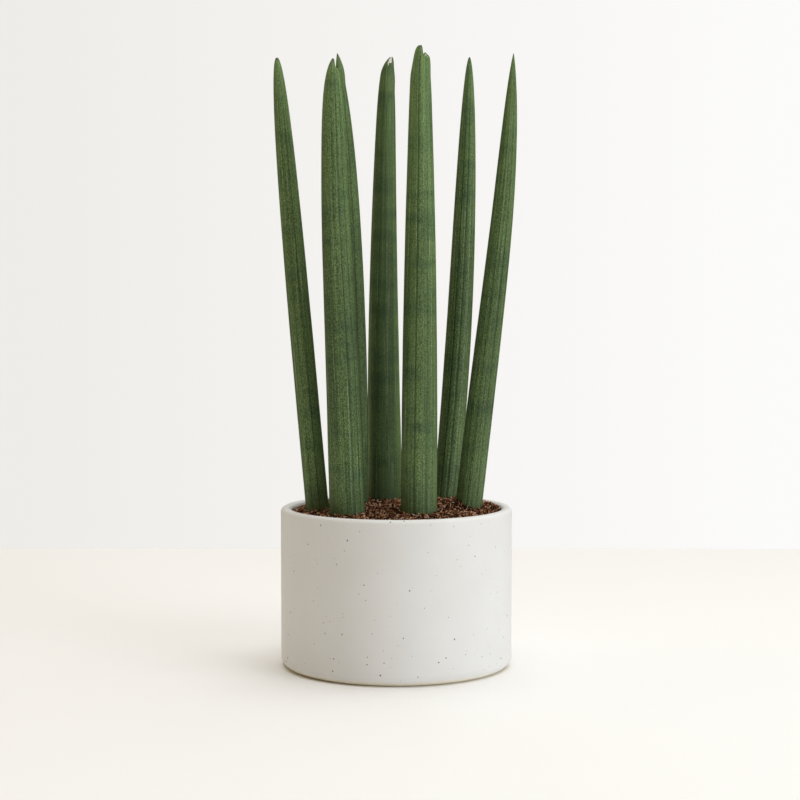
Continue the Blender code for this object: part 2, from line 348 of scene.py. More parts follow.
def crumb(x, y):
    """Uneven surface of the mix, which is flatter at the wall."""
    at = Vector((x, y, 0.0)) / CRUMB_SIZE
    lumps = noise.noise(at) + FINE_CRUMB_SHARE * noise.noise(at * FINE_CRUMB)
    edge = float(smoothstep(EDGE_START, POT_RADIUS - WALL, math.hypot(x, y)))
    height = CRUMB_HEIGHT * lumps * (1.0 - (1.0 - CRUMB_AT_WALL) * edge)
    for place, top, reach in MOUNDS:
        height += top * math.exp(-((x - place[0]) ** 2 + (y - place[1]) ** 2) / reach ** 2)
    return height


def mesh_object(name, vertices, faces):
    mesh = bpy.data.meshes.new(name)
    mesh.from_pydata([tuple(v) for v in vertices], [], [tuple(f) for f in faces])
    mesh.update()
    mesh.shade_smooth()
    made = bpy.data.objects.new(name, mesh)
    bpy.context.scene.collection.objects.link(made)
    return made


def point_attribute(made, name, values, kind="FLOAT"):
    """Stores one number, or one vector, on every vertex for the materials to read."""
    attribute = made.data.attributes.new(name, kind, "POINT")
    key = "value" if kind == "FLOAT" else "vector"
    attribute.data.foreach_set(key, np.asarray(values, np.float32).ravel())


# Leaf shapes


def leaf_axis(leaf, share):
    """Middle of the leaf at shares of its height above the mix; negative is below the mix."""
    share = np.asarray(share, float)
    root_x, root_y = leaf["root"]
    tip_x, tip_y, tip_z = leaf["tip"]
    root_z = float(mix_height(root_x, root_y))
    bend = leaf["bow"] * 4.0 * share * np.where(share > 0.0, 1.0 - share, 1.0)
    sway = leaf["sway"] * np.sin(2.0 * math.pi * share)
    point = leaf["tip_shift"] * np.clip((share - TIP_SHIFT_START) / (1.0 - TIP_SHIFT_START), 0.0, 1.0) ** 2
    x = root_x + (tip_x - root_x) * share + bend + sway + point
    y = root_y + (tip_y - root_y) * share
    return x, y, root_z + (tip_z - root_z) * share


def leaf_height(leaf):
    return leaf["tip"][2] - float(mix_height(*leaf["root"]))


def leaf_radius(leaf, share):
    """Radius at shares of the height, which narrows below the mix and closes at the tip."""
    slim, slim_late = leaf["slim"]
    above = np.clip(share, 0.0, 1.0)
    body = leaf["radius"] * (1.0 - slim * above - slim_late * above * above)
    closing = (1.0 - above ** leaf["tip_power"]) ** leaf["tip_round"]
    depth_share = np.clip(-share * leaf_height(leaf) / ROOT_DEPTH, 0.0, 1.0)
    return body * closing * (1.0 - ROOT_NARROWING * depth_share ** 2)


def all_flutes(name):
    """Front flutes as listed, and seeded ones round the back: (degrees, depth in metres)."""
    leaf = LEAVES[name]
    front = [(float(angle), depth * MILLIMETRE) for angle, depth in leaf["flutes"]]
    draw = random.Random(name)
    gap = front[0][0] + 360.0 - front[-1][0]
    count = round(gap / BACK_FLUTE_SPACING) - 1
    back = []
    for step in range(1, count + 1):
        shift = draw.uniform(-BACK_FLUTE_SHIFT, BACK_FLUTE_SHIFT)
        angle = front[-1][0] + gap * step / (count + 1) + shift
        back.append((angle, FLUTE_DEPTH * draw.uniform(*BACK_FLUTE_DEPTHS)))
    return front + back


def around(angles, centre):
    """Signed distance in degrees from each angle to a centre, the short way round."""
    return (angles - centre + 180.0) % 360.0 - 180.0


def flute_profiles(name, angles):
    """Depth of the flutes and of the fine lines, and the painted shade in the flutes, at each angle."""
    flutes = all_flutes(name)
    depth = np.zeros_like(angles)
    flute_shade = np.zeros_like(angles)
    for index, (angle, deep) in enumerate(flutes):
        following = flutes[(index + 1) % len(flutes)][0] + (360.0 if index + 1 == len(flutes) else 0.0)
        half = min(FLUTE_HALF_ANGLE, FLUTE_GAP_SHARE * (following - angle))
        near = np.clip(np.abs(around(angles, angle)) / half, 0.0, 1.0)
        depth = np.maximum(depth, deep * 0.5 * (1.0 + np.cos(math.pi * near)))
        dark = np.clip((deep / MILLIMETRE - FLUTE_CORE_FROM) / (FLUTE_CORE_FULL - FLUTE_CORE_FROM), 0.0, 1.0)
        flute_shade = np.maximum(flute_shade, dark * np.exp(-((around(angles, angle) / FLUTE_CORE_WIDTH) ** 2)))
    draw = random.Random(name + " ridges")
    fine = np.zeros_like(angles)
    for _ in range(FINE_LINES):
        centre = draw.uniform(0.0, 360.0)
        width = draw.uniform(*FINE_LINE_WIDTH)
        share = draw.uniform(*FINE_LINE_SHARE)
        fine = np.maximum(fine, share * np.exp(-((around(angles, centre) / width) ** 2)))
    return depth, FINE_LINE_DEPTH * fine, flute_shade


def fork_drop(leaf, across, share):
    """How far the tip is lowered, so that one leaf ends in two lobes and one in a short split."""
    if leaf["fork"] is None:
        return np.zeros_like(across)
    place, lobe_drop, notch_depth, notch_half = leaf["fork"]
    lobe = lobe_drop * smoothstep(place - notch_half, place + notch_half, across)
    notch = notch_depth * np.exp(-(((across - place) / notch_half) ** 2))
    return (lobe + notch) * smoothstep(FORK_START, FORK_FULL, share)


def ring_shares(leaf):
    """Heights of the rings: even below the mix, and ever closer towards the tip."""
    above = 1.0 - (1.0 - np.linspace(0.0, 1.0, RINGS_ABOVE)[:-1]) ** RING_POWER
    lowest = -ROOT_DEPTH / leaf_height(leaf)
    below = np.linspace(lowest, 0.0, RINGS_BELOW + 1)[:-1]
    return np.concatenate([below, above])


def wobble(name, degrees, heights):
    """A slow unevenness of the leaf's girth, the same at both ends of a full turn."""
    seed = random.Random(name + " wobble").uniform(0.0, 100.0)
    field = np.empty((len(heights), len(degrees)))
    for row, height in enumerate(heights):
        for column, angle in enumerate(degrees):
            turn = math.radians(angle)
            across = (math.cos(turn) * WOBBLE_TURN, math.sin(turn) * WOBBLE_TURN)
            field[row, column] = noise.noise(Vector((*across, height / WOBBLE_SIZE + seed)))
    return field


def leaf_surface(name, shares, angles, flute, fine):
    """Ring points of a leaf, the turn of each about its axis, and how dry each is."""
    leaf = LEAVES[name]
    axis_x, axis_y, axis_z = leaf_axis(leaf, shares)
    radius = leaf_radius(leaf, shares)
    coarse = wobble(name, angles[::WOBBLE_EVERY_SIDE], axis_z[::WOBBLE_EVERY_RING])
    rows = np.arange(len(shares)) / WOBBLE_EVERY_RING
    uneven = resample(coarse, rows, np.arange(LEAF_SIDES) / WOBBLE_EVERY_SIDE)
    at_foot = 1.0 + FLUTE_AT_FOOT * (1.0 - smoothstep(0.0, FOOT_REACH, shares))
    cut = np.minimum(flute[None, :] * at_foot[:, None], FLUTE_SHARE_MOST * radius[:, None])
    cut = FLUTE_SHOWN * FLUTE_FAINT.get(name, 1.0) * cut
    line = fine[None, :] * np.clip(radius / leaf["radius"], 0.0, 1.0)[:, None]
    swell = 1.0 - WOBBLE * (0.5 + uneven)
    reach = (radius[:, None] * swell) - cut - line
    turn = np.radians(angles[None, :] + leaf["twist"] * (0.5 - shares)[:, None])
    out_x = reach * np.sin(turn)
    out_y = -reach * np.cos(turn)
    start, full, left, right = TIP_SIDES.get(name, TIP_SIDES_PLAIN)
    lopsided = smoothstep(start, full, shares)[:, None]
    out_x = out_x * (1.0 + lopsided * (np.where(out_x < 0.0, left, right) - 1.0))
    dry = dry_share(name, leaf, axis_x[:, None] + out_x, out_y, axis_z[:, None])
    out_y = out_y * (1.0 - DRY_HOLLOW * dry)
    drop = fork_drop(leaf, out_x, shares[:, None] * np.ones_like(out_x))
    x = axis_x[:, None] + out_x
    y = axis_y[:, None] + out_y
    z = axis_z[:, None] * np.ones_like(x) - drop
    return np.stack([x, y, z], -1), turn, dry


def leaf_grain(name, angles, heights):
    """Coordinates for the skin's patterns, which follow the leaf as it leans, twists and tapers."""
    radius = LEAVES[name]["radius"]
    seed = random.Random(name + " grain").uniform(0.0, 10.0)
    still = np.radians(angles)[None, :] * np.ones_like(heights)
    grain = np.stack([radius * np.sin(still), -radius * np.cos(still), heights + seed], -1).reshape(-1, 3)
    return np.concatenate([grain, [grain[0], grain[-1]]])


def leaf_tone_and_painted_light(name, shares, turn):
    """How light the skin is: by height, painted light and shade on its flanks, painted shade at its edges.
    """
    across = np.sin(turn)
    left_flank, right_flank = FLANK_PAINTED_LIGHT_AND_SHADE.get(name, (0.0, 0.0))
    # Painted light and painted shade on the flanks, fading out towards the tip
    flank = across ** FLANK_POWER * np.where(across < 0.0, left_flank, right_flank)
    flank = flank * (1.0 - smoothstep(*FLANK_FADE, shares))[:, None]
    left_edge, right_edge = EDGE_PAINTED_SHADE.get(name, EDGE_PAINTED_SHADE_PLAIN)
    # Painted shade along the left and right edges
    edge = across ** EDGE_PAINTED_SHADE_POWER * np.where(across < 0.0, left_edge, right_edge)
    by_height = LEAF_TONE_AND_PAINTED_LIGHT.get(name, 1.0) * np.interp(shares, TONE_SHARES, TONES)[:, None]
    return by_height * (1.0 + flank) * (1.0 - edge)


def with_ends(field, bottom, top):
    """The values of all ring points, and those of the middles of the two ends."""
    return np.concatenate([field.ravel(), [bottom, top]])


def make_leaf(name, finish):
    """One leaf as a stack of rings, closed at both ends, with the values that its material reads."""
    shares = ring_shares(LEAVES[name])
    angles = np.arange(LEAF_SIDES) * 360.0 / LEAF_SIDES
    flute, fine, flute_shade = flute_profiles(name, angles)
    rings, turn, dry = leaf_surface(name, shares, angles, flute, fine)
    points = rings.reshape(-1, 3)
    ends = [points[:LEAF_SIDES].mean(0), points[-LEAF_SIDES:].mean(0)]
    vertices = np.concatenate([points, ends])
    made = mesh_object(name + "_skin", vertices, tube_faces(len(shares), LEAF_SIDES))
    heights = shares[:, None] * np.ones_like(dry)
    fading = 1.0 - smoothstep(*FLUTE_FADE, shares)
    # Painted shade in the flute cores, fading out towards the tip
    dark = FLUTE_FAINT.get(name, 1.0) * flute_shade[None, :] * fading[:, None]
    point_attribute(made, "grain", leaf_grain(name, angles, rings[:, :, 2]), "FLOAT_VECTOR")
    # The flute attribute holds the painted shade in the flute cores
    point_attribute(made, "flute", with_ends(dark, 0.0, 0.0))
    point_attribute(made, "height", with_ends(heights, shares[0], 1.0))
    point_attribute(made, "dry", with_ends(dry, 0.0, 0.0))
    # The tone holds painted light and shade on the flanks and painted shade along the edges
    point_attribute(made, "tone", with_ends(leaf_tone_and_painted_light(name, shares, turn), 1.0, 1.0))
    point_attribute(made, "speckle", np.full(len(vertices), SPECKLE.get(name, SPECKLE_PLAIN)))
    made.data.materials.append(finish)
    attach(made, BODY)
    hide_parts(name)
    return made


def resample(field, rows, columns):
    """Reads a coarse field at finer rows and columns; the columns run round a full turn."""
    rows = np.clip(rows, 0, field.shape[0] - 1.001)
    low_row = rows.astype(int)
    row_share = (rows - low_row)[:, None]
    low_column = columns.astype(int) % field.shape[1]
    high_column = (low_column + 1) % field.shape[1]
    column_share = (columns - columns.astype(int))[None, :]
    low, high = (
        field[row][:, low_column] * (1 - column_share) + field[row][:, high_column] * column_share
        for row in (low_row, low_row + 1)
    )
    return low * (1 - row_share) + high * row_share


def tube_faces(rings, sides):
    """Faces of a closed tube; its last two vertices are the middles of the two ends."""
    faces = []
    bottom = rings * sides
    top = bottom + 1
    for ring in range(rings - 1):
        low = ring * sides
        high = low + sides
        for i in range(sides):
            j = (i + 1) % sides
            faces.append((low + i, low + j, high + j, high + i))
    last = (rings - 1) * sides
    for i in range(sides):
        j = (i + 1) % sides
        faces.append((j, i, bottom))
        faces.append((last + i, last + j, top))
    return faces


def dry_share(name, leaf, x, out_y, z):
    """How dry and pale the front of a tip is: one in the middle of its dry cut, nothing elsewhere."""
    if name not in TIP_DRY:
        return np.zeros_like(x)
    tip_x = leaf["tip"][0] + leaf["tip_shift"]
    inside = np.zeros_like(x)
    for across, half, top, bottom in TIP_DRY[name]:
        sideways = (x - tip_x - across) / half
        down = (leaf["tip"][2] - z - 0.5 * (top + bottom)) / (0.5 * (bottom - top))
        inside = np.maximum(inside, 1.0 - smoothstep(*DRY_EDGE, np.hypot(sideways, down)))
    return np.where(out_y < 0.0, inside, 0.0)


# Pot


def arc(centre_x, centre_z, radius, start, end, steps=ARC_STEPS):
    points = []
    for step in range(steps + 1):
        angle = math.radians(start + (end - start) * step / steps)
        points.append((centre_x + radius * math.cos(angle), centre_z + radius * math.sin(angle)))
    return points


def straight(start, end, steps):
    """Points between two others, without either end."""
    return [
        (start[0] + (end[0] - start[0]) * i / steps, start[1] + (end[1] - start[1]) * i / steps)
        for i in range(1, steps)
    ]


def turned_mesh(name, profile, segments):
    """Turns an XZ profile about Z and returns the finished mesh as an object."""
    line = bpy.data.meshes.new(name)
    line.from_pydata([(x, 0.0, z) for x, z in profile], [(i, i + 1) for i in range(len(profile) - 1)], [])
    spun = bpy.data.objects.new(name + "_line", line)
    bpy.context.scene.collection.objects.link(spun)
    screw = spun.modifiers.new("turn", "SCREW")
    screw.steps = segments
    screw.render_steps = segments
    screw.use_merge_vertices = True
    screw.merge_threshold = MERGE_DISTANCE
    screw.use_smooth_shade = True
    evaluated = spun.evaluated_get(bpy.context.evaluated_depsgraph_get())
    mesh = bpy.data.meshes.new_from_object(evaluated)
    mesh.name = name
    bpy.data.objects.remove(spun, do_unlink=True)
    made = bpy.data.objects.new(name, mesh)
    bpy.context.scene.collection.objects.link(made)
    return made


def pot_profile():
    inner = POT_RADIUS - WALL
    edge = LIP_EDGE_RADIUS
    corner = INNER_CORNER_RADIUS
    outer = OUTER_CORNER_RADIUS
    floor_arc = arc(inner - corner, FLOOR_THICKNESS + corner, corner, -90, 0)
    lip_in = arc(inner + edge, POT_HEIGHT - edge, edge, 180, 90)
    lip_out = arc(POT_RADIUS - edge, POT_HEIGHT - edge, edge, 90, 0)
    foot_arc = arc(POT_RADIUS - outer, outer, outer, 0, -90)
    profile = [(0.0, FLOOR_THICKNESS)]
    profile += straight(profile[-1], floor_arc[0], FLOOR_STEPS) + floor_arc
    profile += straight(floor_arc[-1], lip_in[0], WALL_STEPS) + lip_in + lip_out
    profile += straight(lip_out[-1], foot_arc[0], WALL_STEPS) + foot_arc
    profile += [(FOOT_INNER_RADIUS, 0.0), (FOOT_INNER_RADIUS - FOOT_EDGE, FOOT_RECESS), (0.0, FOOT_RECESS)]
    return profile


def make_pot(finish):
    """The turned pot, with the faint waves that throwing and trimming leave in its wall."""
    made = turned_mesh("pot_shell", pot_profile(), POT_SEGMENTS)
    for vertex in made.data.vertices:
        x, y, z = vertex.co
        radius = math.hypot(x, y)
        if radius < POT_RADIUS - WALL - MIX_GAP or z < OUTER_CORNER_RADIUS:
            continue
        wave = 0.5 + 0.5 * noise.noise(vertex.co * Vector(THROWN_WAVE_SCALE))
        vertex.co.x -= x / radius * THROWN_WAVE * wave
        vertex.co.y -= y / radius * THROWN_WAVE * wave
    made.data.materials.append(finish)
    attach(made, BODY)
    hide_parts("pot")
    return made


# Potting mix


def make_hole(name):
    """Cutter for the hole that a leaf stands in, a little wider and deeper than the leaf."""
    leaf = LEAVES[name]
    height = leaf_height(leaf)
    shares = np.concatenate([-np.array(HOLE_DEPTHS) * ROOT_DEPTH / height, [HOLE_TOP / height]])
    axis_x, axis_y, axis_z = leaf_axis(leaf, shares)
    radius = leaf_radius(leaf, shares) + HOLE_GAP
    axis_z[0] -= HOLE_GAP
    turn = np.radians(np.arange(HOLE_SIDES) * 360.0 / HOLE_SIDES)
    x = axis_x[:, None] + radius[:, None] * np.sin(turn)
    y = axis_y[:, None] - radius[:, None] * np.cos(turn)
    z = axis_z[:, None] * np.ones_like(x)
    points = np.stack([x, y, z], -1).reshape(-1, 3)
    ends = [points[:HOLE_SIDES].mean(0), points[-HOLE_SIDES:].mean(0)]
    return mesh_object("hole_" + name, np.concatenate([points, ends]), tube_faces(len(shares), HOLE_SIDES))


def make_bed(finish):
    """The body of the mix, with its crumbly top and the leaves' holes cut through it."""
    radius = POT_RADIUS - WALL - MIX_GAP
    bottom = FLOOR_THICKNESS + MIX_GAP
    corner = INNER_CORNER_RADIUS - MIX_GAP
    nominal = POT_HEIGHT - LIP_EDGE_RADIUS
    profile = [(radius * ring / MIX_RINGS, nominal) for ring in range(MIX_RINGS + 1)]
    profile += arc(radius - corner, bottom + corner, corner, 0, -90, MIX_CORNER_STEPS)
    profile += [(0.0, bottom)]
    made = turned_mesh("mix_bed", profile, MIX_SEGMENTS)
    for vertex in made.data.vertices:
        x, y, z = vertex.co
        if z > nominal - 0.5 * MILLIMETRE:
            vertex.co.z = float(mix_height(x, y)) + crumb(x, y)
    cutters = bpy.data.collections.new("leaf_holes")
    bpy.context.scene.collection.children.link(cutters)
    for name in LEAVES:
        hole = make_hole(name)
        bpy.context.scene.collection.objects.unlink(hole)
        cutters.objects.link(hole)
    cut = made.modifiers.new("holes", "BOOLEAN")
    cut.operation = "DIFFERENCE"
    cut.operand_type = "COLLECTION"
    cut.collection = cutters
    cut.solver = "EXACT"
    evaluated = made.evaluated_get(bpy.context.evaluated_depsgraph_get())
    mesh = bpy.data.meshes.new_from_object(evaluated)
    made.modifiers.clear()
    made.data = mesh
    for hole in list(cutters.objects):
        bpy.data.objects.remove(hole, do_unlink=True)
    bpy.data.collections.remove(cutters)
    mesh.materials.clear()
    mesh.materials.append(finish)
    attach(made, BODY)
    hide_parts("potting_mix")
    return made


def chip_shape(subdivisions, draw):
    """One lumpy chip about a unit long, as vertices and triangles."""
    shape = bmesh.new()
    bmesh.ops.create_icosphere(shape, subdivisions=subdivisions, radius=0.5)
    offset = Vector([draw.uniform(0.0, NOISE_SHIFT) for _ in range(3)])
    for vertex in shape.verts:
        vertex.co *= 1.0 + CHIP_LUMPS * noise.noise(vertex.co * CHIP_LUMP_SCALE + offset)
    vertices = np.array([vertex.co[:] for vertex in shape.verts])
    faces = np.array([[vertex.index for vertex in face.verts] for face in shape.faces])
    shape.free()
    return vertices, faces


def chip_places(draw):
    """Places on the mix for the chips: a shaken grid that keeps clear of the leaves."""
    places = []
    count = int(CHIP_BED_RADIUS / CHIP_SPACING) + 1
    for i in range(-count, count + 1):
        for j in range(-count, count + 1):
            x = (i + draw.uniform(-0.5, 0.5)) * CHIP_SPACING
            y = (j + draw.uniform(-0.5, 0.5)) * CHIP_SPACING
            if math.hypot(x, y) > CHIP_BED_RADIUS:
                continue
            nearest = 1.0
            for leaf in LEAVES.values():
                from_leaf = math.hypot(x - leaf["root"][0], y - leaf["root"][1]) - leaf["radius"]
                nearest = min(nearest, from_leaf)
            if nearest > CHIP_CLEARANCE:
                places.append((x, y, nearest))
    return places


def rotation(draw):
    """A random turn about Z after a moderate tilt, as a 3 by 3 array."""
    tilt = math.radians(draw.gauss(0.0, CHIP_TILT))
    turn = draw.uniform(0.0, 2.0 * math.pi)
    ct, st = math.cos(tilt), math.sin(tilt)
    cz, sz = math.cos(turn), math.sin(turn)
    tilted = np.array([[ct, 0.0, st], [0.0, 1.0, 0.0], [-st, 0.0, ct]])
    turned = np.array([[cz, -sz, 0.0], [sz, cz, 0.0], [0.0, 0.0, 1.0]])
    return turned @ tilted


def make_chips(finishes):
    """Thousands of chips in three colours, each half sunk in the bed."""
    draw = random.Random("chips")
    fine = [chip_shape(2, draw) for _ in range(CHIP_SHAPES)]
    coarse = [chip_shape(1, draw) for _ in range(CHIP_SHAPES)]
    stacks = {kind: ([], [], 0) for kind, _ in CHIP_KINDS}
    kinds = [kind for kind, _ in CHIP_KINDS]
    weights = [share for _, share in CHIP_KINDS]
    for x, y, from_leaf in chip_places(draw):
        kind = draw.choices(kinds, weights)[0]
        long = draw.uniform(*CHIP_LENGTH)
        vertices, faces = draw.choice(fine if draw.random() < FINE_CHIP_SHARE else coarse)
        size = np.array([long, draw.uniform(*CHIP_WIDTH), draw.uniform(*CHIP_WIDTH)])
        heaped = HEAP_AT_LEAF * math.exp(-max(0.0, from_leaf) / HEAP_AT_LEAF_REACH) * draw.random()
        z = float(mix_height(x, y)) + crumb(x, y) + draw.uniform(*CHIP_LIFT) + heaped
        placed = (vertices * size) @ rotation(draw).T + np.array([x, y, z])
        points, polygons, used = stacks[kind]
        points.append(placed)
        polygons.append(faces + used)
        stacks[kind] = (points, polygons, used + len(vertices))
    for kind, (points, polygons, _) in stacks.items():
        made = mesh_object(kind, np.concatenate(points), np.concatenate(polygons))
        made.data.materials.append(finishes[kind])
        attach(made, BODY)


# Materials


class Nodes:
    """Small helper that adds nodes to a material and links them."""

    def __init__(self, name):
        self.material = bpy.data.materials.new(name)
        self.material.use_nodes = True
        self.tree = self.material.node_tree
        self.shader = self.tree.nodes["Principled BSDF"]

    def add(self, kind, **settings):
        node = self.tree.nodes.new(kind)
        for key, value in settings.items():
            setattr(node, key, value)
        return node

    def link(self, source, target):
        self.tree.links.new(source, target)

    def attribute(self, name, output="Fac"):
        return self.add("ShaderNodeAttribute", attribute_name=name).outputs[output]

    def object_coordinates(self):
        return self.add("ShaderNodeTexCoord").outputs["Object"]

    def stretch(self, vector, scale):
        node = self.add("ShaderNodeMapping")
        node.inputs["Scale"].default_value = scale
        self.link(vector, node.inputs["Vector"])
        return node.outputs["Vector"]

    def noise(self, vector, scale, detail=3.0, roughness=0.5, distortion=0.0):
        node = self.add("ShaderNodeTexNoise")
        node.inputs["Scale"].default_value = scale
        node.inputs["Detail"].default_value = detail
        node.inputs["Roughness"].default_value = roughness
        node.inputs["Distortion"].default_value = distortion
        self.link(vector, node.inputs["Vector"])
        return node.outputs["Fac"]

    def spread(self, value, low, high, to_low=0.0, to_high=1.0):
        node = self.add("ShaderNodeMapRange", clamp=True)
        for key, number in (("From Min", low), ("From Max", high), ("To Min", to_low), ("To Max", to_high)):
            node.inputs[key].default_value = number
        self.link(value, node.inputs["Value"])
        return node.outputs["Result"]

    def math(self, operation, first, second):
        node = self.add("ShaderNodeMath", operation=operation)
        for socket, value in zip(node.inputs, (first, second)):
            if isinstance(value, (int, float)):
                socket.default_value = value
            else:
                self.link(value, socket)
        return node.outputs["Value"]

    def blend(self, share, first, second, mode="MIX"):
        node = self.add("ShaderNodeMix", data_type="RGBA", blend_type=mode)
        factor, one, two = node.inputs["Factor"], node.inputs[6], node.inputs[7]
        for socket, value in ((factor, share), (one, first), (two, second)):
            if isinstance(value, (int, float)):
                socket.default_value = value
            elif isinstance(value, tuple):
                socket.default_value = (*value, 1.0)
            else:
                self.link(value, socket)
        return node.outputs[2]

    def bump(self, height, strength, distance, before=None):
        node = self.add("ShaderNodeBump")
        node.inputs["Strength"].default_value = strength
        node.inputs["Distance"].default_value = distance
        self.link(height, node.inputs["Height"])
        if before is not None:
            self.link(before, node.inputs["Normal"])
        return node.outputs["Normal"]

    def finish(self, colour, roughness, normal):
        self.link(colour, self.shader.inputs["Base Color"])
        self.link(roughness, self.shader.inputs["Roughness"])
        self.link(normal, self.shader.inputs["Normal"])
        return self.material


LEAF_DARK = (0.077, 0.123, 0.044)
LEAF_MID = (0.110, 0.172, 0.062)
LEAF_BLOTCH = (0.044, 0.084, 0.036)
LEAF_PALE_LINE = (0.175, 0.245, 0.112)
# Colour of the painted shade in the flute cores
LEAF_FLUTE_SHADE = (0.012, 0.026, 0.007)
LEAF_FOOT = (0.086, 0.126, 0.058)
LEAF_POINT = (0.040, 0.036, 0.022)
LEAF_DRY = (0.780, 0.760, 0.680)
LEAF_SPECULAR = 0.20
# Patterns in the skin: stretch along the leaf, then scale, detail, roughness and distortion
LEAF_PATTERNS = {
    "broad": ((1.0, 1.0, 0.06), 150.0, 2.0, 0.50, 0.0),
    "blotches": ((0.32, 0.32, 1.0), 66.0, 1.0, 0.45, 0.20),
    "lines": ((1.0, 1.0, 0.010), 420.0, 1.0, 0.50, 0.0),
    "breaks": ((1.0, 1.0, 0.12), 330.0, 2.0, 0.50, 0.0),
    "streaks": ((1.0, 1.0, 0.014), 1250.0, 3.0, 0.55, 0.0),
    "stipple": ((1.0, 1.0, 0.80), 1600.0, 1.0, 0.50, 0.0),
}
BLOTCH_STRENGTH = 0.62
# Fine lines follow one level of the pattern each: level, strength and tint
LEAF_LINES = ((0.50, 0.80, LEAF_PALE_LINE), (0.44, 0.78, LEAF_BLOTCH))
LEAF_LINE_FADE = (0.030, 0.004)
STREAK_SHADE = (0.83, 1.17)
STIPPLE_SHADE = (-0.68, 0.98)
# Shares of the height over which the foot and the point take their own tint, and its strength
FOOT_TINT = (0.10, 0.0, 0.0, 0.50)
POINT_TINT = (0.990, 0.999, 0.0, 0.75)
LEAF_ROUGHNESS = (0.50, 0.64)
STREAK_BUMP = (0.30, 0.00015)
STIPPLE_BUMP = (0.25, 0.00012)


def leaf_skin():
    """Waxy green skin: soft dark cross blotches, fine lines, painted shade in the flutes, painted light and
    shade on flanks and edges, and a fine speckle.
    """
    make = Nodes("leaf_skin")
    grain = make.attribute("grain", "Vector")
    height = make.attribute("height")
    field = {}
    for key, (stretch, *settings) in LEAF_PATTERNS.items():
        field[key] = make.noise(make.stretch(grain, stretch), *settings)
    colour = make.blend(make.spread(field["broad"], 0.30, 0.66), LEAF_DARK, LEAF_MID)
    blotch_share = make.math("MULTIPLY", make.spread(field["blotches"], 0.48, 0.68), BLOTCH_STRENGTH)
    colour = make.blend(blotch_share, colour, LEAF_BLOTCH)
    present = make.spread(field["breaks"], 0.32, 0.62, 0.35, 1.0)
    for level, strength, tint in LEAF_LINES:
        off_line = make.math("ABSOLUTE", make.math("SUBTRACT", field["lines"], level), 0.0)
        line_share = make.math("MULTIPLY", make.spread(off_line, *LEAF_LINE_FADE), present)
        colour = make.blend(make.math("MULTIPLY", line_share, strength), colour, tint)
    streak_shade = make.spread(field["streaks"], 0.30, 0.70, *STREAK_SHADE)
    stipple_shade = make.spread(field["stipple"], 0.32, 0.68, *STIPPLE_SHADE)
    stipple_shade = make.math("MULTIPLY", stipple_shade, make.attribute("speckle"))
    shade = make.math("MULTIPLY", streak_shade, make.math("ADD", stipple_shade, 1.0))
    # The tone brings in painted light and shade on the flanks and painted shade along the edges
    shade = make.math("MULTIPLY", shade, make.attribute("tone"))
    grey = make.add("ShaderNodeCombineColor")
    for socket in ("Red", "Green", "Blue"):
        make.link(shade, grey.inputs[socket])
    colour = make.blend(1.0, colour, grey.outputs["Color"], "MULTIPLY")
    # Painted shade in the flute cores, broken up along their length
    flute_breaks = make.spread(field["breaks"], 0.25, 0.60, 0.60, 1.0)
    colour = make.blend(make.math("MULTIPLY", make.attribute("flute"), flute_breaks), colour, LEAF_FLUTE_SHADE)
    colour = make.blend(make.spread(height, *FOOT_TINT), colour, LEAF_FOOT)
    colour = make.blend(make.spread(height, *POINT_TINT), colour, LEAF_POINT)
    ragged = make.math("ADD", make.attribute("dry"), make.spread(field["streaks"], 0.3, 0.7, -0.15, 0.25))
    colour = make.blend(make.spread(ragged, 0.35, 0.60), colour, LEAF_DRY)
    roughness = make.spread(field["streaks"], 0.30, 0.70, *LEAF_ROUGHNESS)
    normal = make.bump(field["streaks"], *STREAK_BUMP)
    normal = make.bump(field["stipple"], *STIPPLE_BUMP, normal)
    make.shader.inputs["Specular IOR Level"].default_value = LEAF_SPECULAR
    return make.finish(colour, roughness, normal)


GLAZE = (0.800, 0.796, 0.792)
GLAZE_SHADE = (0.775, 0.768, 0.760)
GLAZE_ROUGHNESS = (0.50, 0.64)
GLAZE_SPECULAR = 0.38
SPECK_DARK = (0.012, 0.010, 0.009)
SPECK_FAINT = (0.230, 0.205, 0.180)
# Specks: how many to a metre, radius as a share of their spacing, and tint
SPECKS = ((126.0, 0.073, SPECK_DARK), (190.0, 0.068, SPECK_FAINT))
SPECK_CORE = 0.80
SPECK_UNEVEN = 0.02
SPECK_STRENGTH = (0.60, 1.0)
BARE_CLAY = (0.900, 0.810, 0.630)
BARE_CLAY_LIGHT = (0.930, 0.860, 0.720)
BARE_HEIGHT = 0.0020
BARE_FADE = (0.0018, -0.0010)
BARE_UNEVEN = 0.0004
BARE_ROUGHER = 0.30


